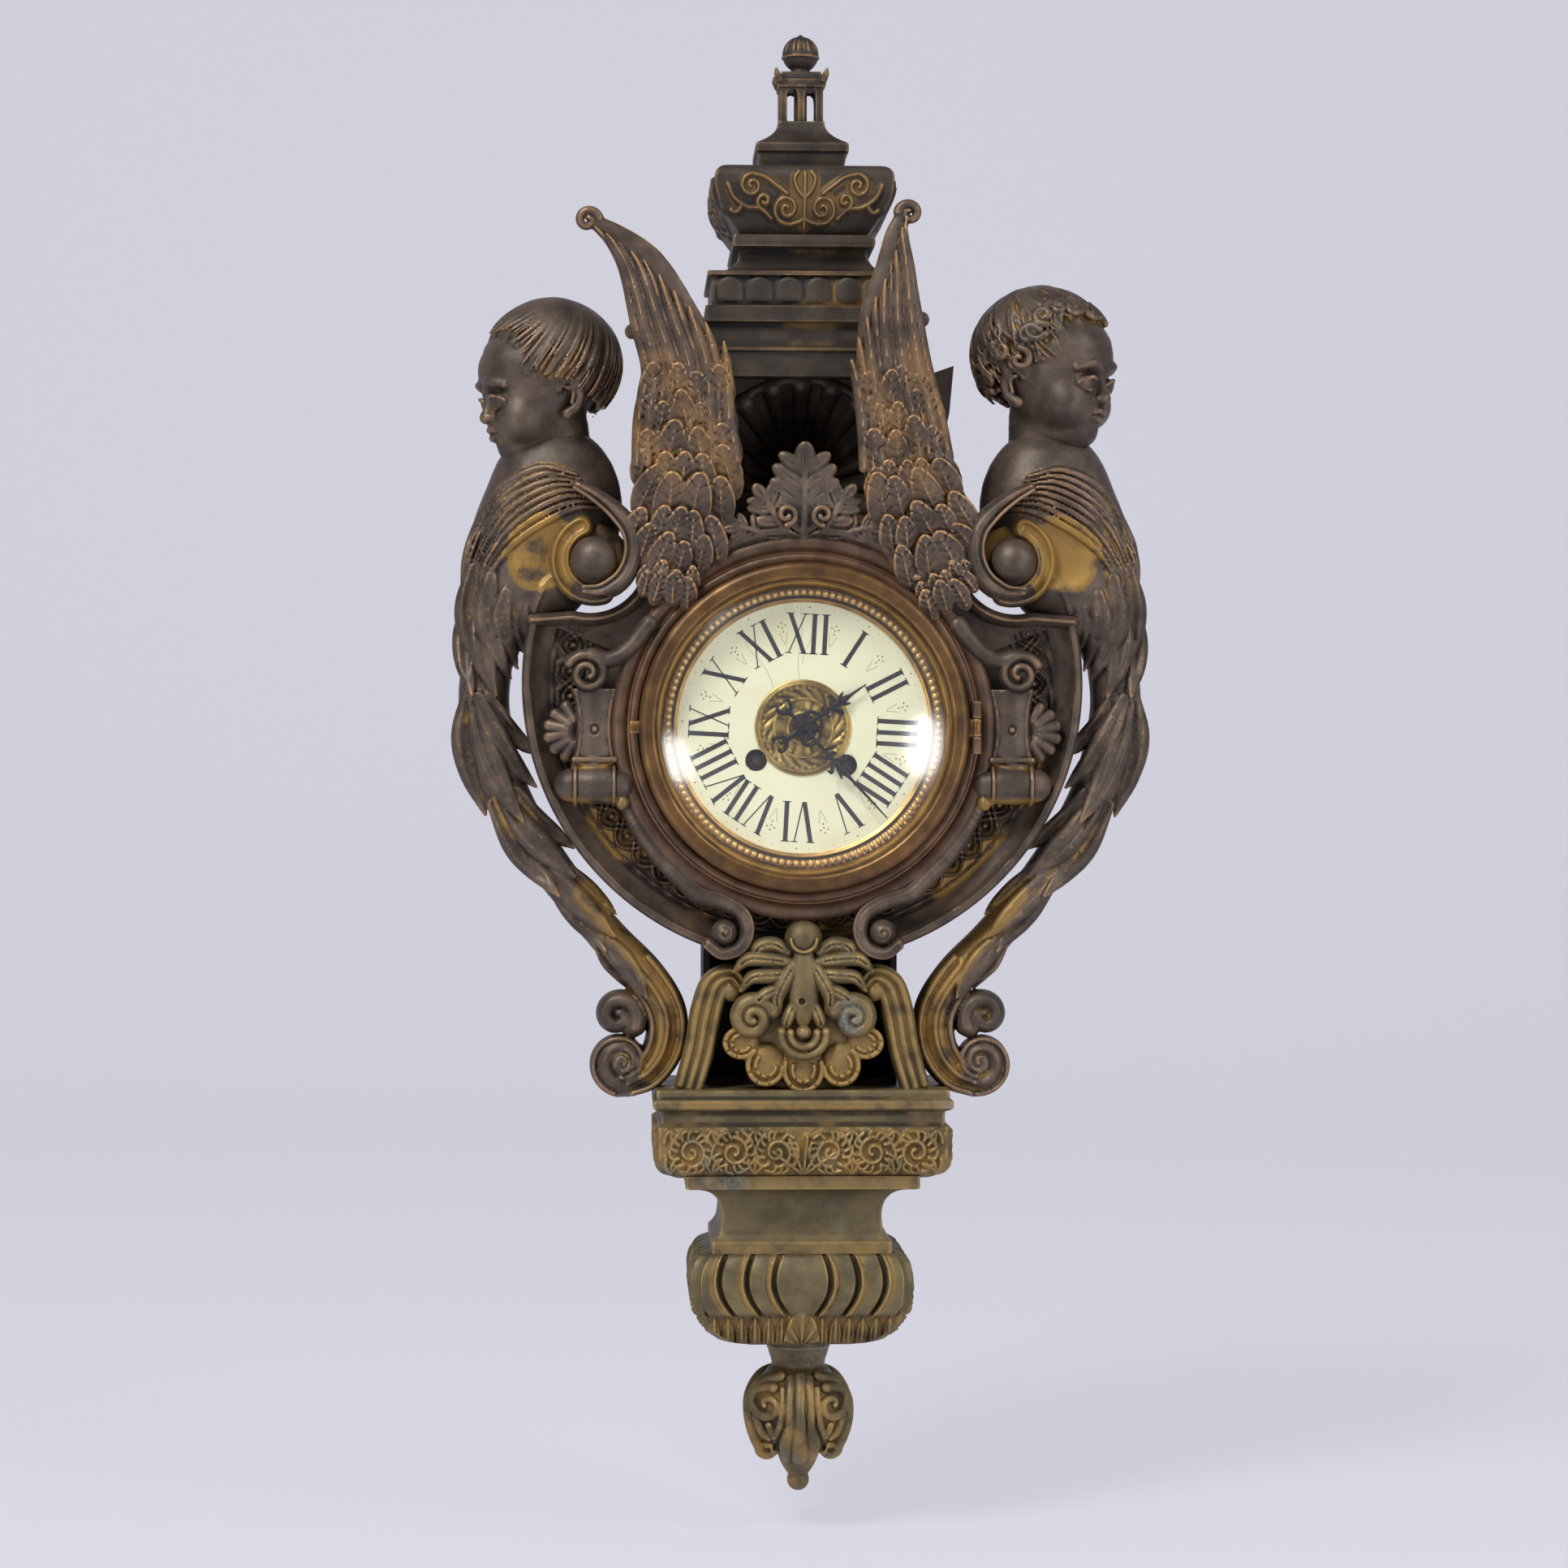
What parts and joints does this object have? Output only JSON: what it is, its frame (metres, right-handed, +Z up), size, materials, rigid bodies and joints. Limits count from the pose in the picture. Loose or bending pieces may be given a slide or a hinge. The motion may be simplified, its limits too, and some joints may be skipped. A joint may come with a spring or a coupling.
{
  "type": "cartel clock",
  "caption": "Wall clock in a cast case with winged cherub terms, scrolls and acanthus round a glazed enamel dial, with a pendulum movement.",
  "frame": {"origin": "centre of the hanging hole, in the wall plane", "axes": "+Z up, +Y into the wall, the dial looks towards -Y, +X to the viewer's right"},
  "size_m": [0.3342, 0.1097, 0.6968],
  "materials": {
    "bronze": "worn brown patina over cast metal, gilding left in the hollows",
    "dark_bronze": "dark brown patina",
    "gilt_bronze": "dull worn gilding",
    "green_bronze": "olive patina with green bloom",
    "dark_iron": "dull dark paint",
    "steel": "drawn steel",
    "brass": "polished brass, lightly tarnished",
    "bell_metal": "turned bell metal",
    "dial_brass": "embossed brass",
    "enamel": "cream enamel on copper",
    "black_steel": "blackened steel",
    "glass": "clear domed glass"
  },
  "bodies": {
    "case": {"hanger": "dark_iron", "back_plate": "dark_iron", "drum": "dark_bronze", "shield": "bronze", "dial_frame": "bronze", "left_pilaster": "bronze", "right_pilaster": "bronze", "crest_palmette": "bronze", "shell_niche": "dark_bronze", "upper_column": "dark_bronze", "top_cap": "dark_bronze", "finial_stand": "dark_bronze", "finial_bud": "dark_bronze", "left_head": "bronze", "right_head": "bronze", "left_bust": "bronze", "right_bust": "bronze", "left_wing": "bronze", "right_wing": "bronze", "left_volute": "bronze", "right_volute": "bronze", "left_tail": "bronze", "right_tail": "bronze", "left_bracket": "gilt_bronze", "right_bracket": "gilt_bronze", "mask_shell": "gilt_bronze", "apron_box": "dark_iron", "plinth": "green_bronze", "neck": "green_bronze", "gadroon_block": "green_bronze", "pendant": "green_bronze", "tie_rods": "steel", "case_screws": "steel", "hinge_pins": "steel", "sight_ring": "gilt_bronze", "dial_plate": "enamel", "dial_centre": "dial_brass", "front_plate": "brass", "rear_plate": "brass", "pillars": "brass", "pendulum_cock": "brass", "bell": "bell_metal"},
    "door": {"bezel": "gilt_bronze", "dial_glass": "glass"},
    "rear_hatch": {"rear_door": "brass"},
    "centre_train": {"centre_wheel": "brass"},
    "minute_group": {"minute_hand": "black_steel"},
    "hour_group": {"hour_hand": "black_steel", "hour_wheel": "brass"},
    "motion_wheel": {"minute_wheel": "brass"},
    "second_train": {"second_wheel": "brass"},
    "going_drive": {"going_barrel": "brass"},
    "third_train": {"third_wheel": "brass"},
    "escape_train": {"escape_wheel": "brass"},
    "strike_drive": {"strike_barrel": "brass"},
    "going_winder": {"going_arbor": "steel"},
    "strike_winder": {"strike_arbor": "steel"},
    "swing": {"pendulum": "brass"},
    "pallets": {"anchor": "steel"},
    "striker": {"hammer": "steel"}
  },
  "joints": [
    {"name": "bezel_door", "type": "hinge", "parent": "case", "child": "door", "pos_m": [0.0804, -0.0974, -0.178], "axis": [0, 0, 1], "range_deg": [0, 110]},
    {"name": "rear_door_swing", "type": "hinge", "parent": "case", "child": "rear_hatch", "pos_m": [0.0615, -0.0019, -0.178], "axis": [0, 0, -1], "range_deg": [0, 100]},
    {"name": "centre_wheel_turn", "type": "hinge", "parent": "case", "child": "centre_train", "pos_m": [0, -0.06, -0.178], "axis": [0, 1, 0], "continuous": true},
    {"name": "minute_hand_turn", "type": "hinge", "parent": "case", "child": "minute_group", "pos_m": [0, -0.088, -0.178], "axis": [0, 1, 0], "continuous": true},
    {"name": "hour_hand_turn", "type": "hinge", "parent": "case", "child": "hour_group", "pos_m": [0, -0.086, -0.178], "axis": [0, 1, 0], "continuous": true},
    {"name": "minute_wheel_turn", "type": "hinge", "parent": "case", "child": "motion_wheel", "pos_m": [0.00081, -0.074, -0.16302], "axis": [0, 1, 0], "continuous": true},
    {"name": "second_wheel_turn", "type": "hinge", "parent": "case", "child": "second_train", "pos_m": [0.02045, -0.045, -0.17322], "axis": [0, 1, 0], "continuous": true},
    {"name": "going_barrel_turn", "type": "hinge", "parent": "case", "child": "going_drive", "pos_m": [0.02019, -0.057, -0.19542], "axis": [0, 1, 0], "continuous": true},
    {"name": "third_wheel_turn", "type": "hinge", "parent": "case", "child": "third_train", "pos_m": [-0.01015, -0.06, -0.15962], "axis": [0, 1, 0], "continuous": true},
    {"name": "escape_wheel_turn", "type": "hinge", "parent": "case", "child": "escape_train", "pos_m": [0.00193, -0.056, -0.14243], "axis": [0, 1, 0], "continuous": true},
    {"name": "strike_barrel_turn", "type": "hinge", "parent": "case", "child": "strike_drive", "pos_m": [-0.02195, -0.057, -0.19314], "axis": [0, 1, 0], "continuous": true},
    {"name": "going_winding", "type": "hinge", "parent": "case", "child": "going_winder", "pos_m": [0.02019, -0.057, -0.19542], "axis": [0, 1, 0], "continuous": true},
    {"name": "strike_winding", "type": "hinge", "parent": "case", "child": "strike_winder", "pos_m": [-0.02195, -0.057, -0.19314], "axis": [0, 1, 0], "continuous": true},
    {"name": "pendulum_swing", "type": "hinge", "parent": "case", "child": "swing", "pos_m": [0.00245, -0.025, -0.13285], "axis": [0, 1, 0], "range_deg": [-4, 4]},
    {"name": "anchor_rock", "type": "hinge", "parent": "case", "child": "pallets", "pos_m": [0.00245, -0.05, -0.13285], "axis": [0, 1, 0], "range_deg": [-4, 4]},
    {"name": "hammer_swing", "type": "hinge", "parent": "case", "child": "striker", "pos_m": [-0.03875, -0.04, -0.15387], "axis": [0, -1, 0], "range_deg": [0, 7]}
  ],
  "couplings": [
    {"joint": "minute_hand_turn", "follows": "centre_wheel_turn", "ratio": 1},
    {"joint": "minute_wheel_turn", "follows": "centre_wheel_turn", "ratio": -0.33333},
    {"joint": "hour_hand_turn", "follows": "centre_wheel_turn", "ratio": 0.083333},
    {"joint": "second_wheel_turn", "follows": "centre_wheel_turn", "ratio": -0.16667},
    {"joint": "going_barrel_turn", "follows": "centre_wheel_turn", "ratio": 0.026042},
    {"joint": "third_wheel_turn", "follows": "centre_wheel_turn", "ratio": -6},
    {"joint": "escape_wheel_turn", "follows": "centre_wheel_turn", "ratio": 36},
    {"joint": "anchor_rock", "follows": "pendulum_swing", "ratio": 1}
  ]
}
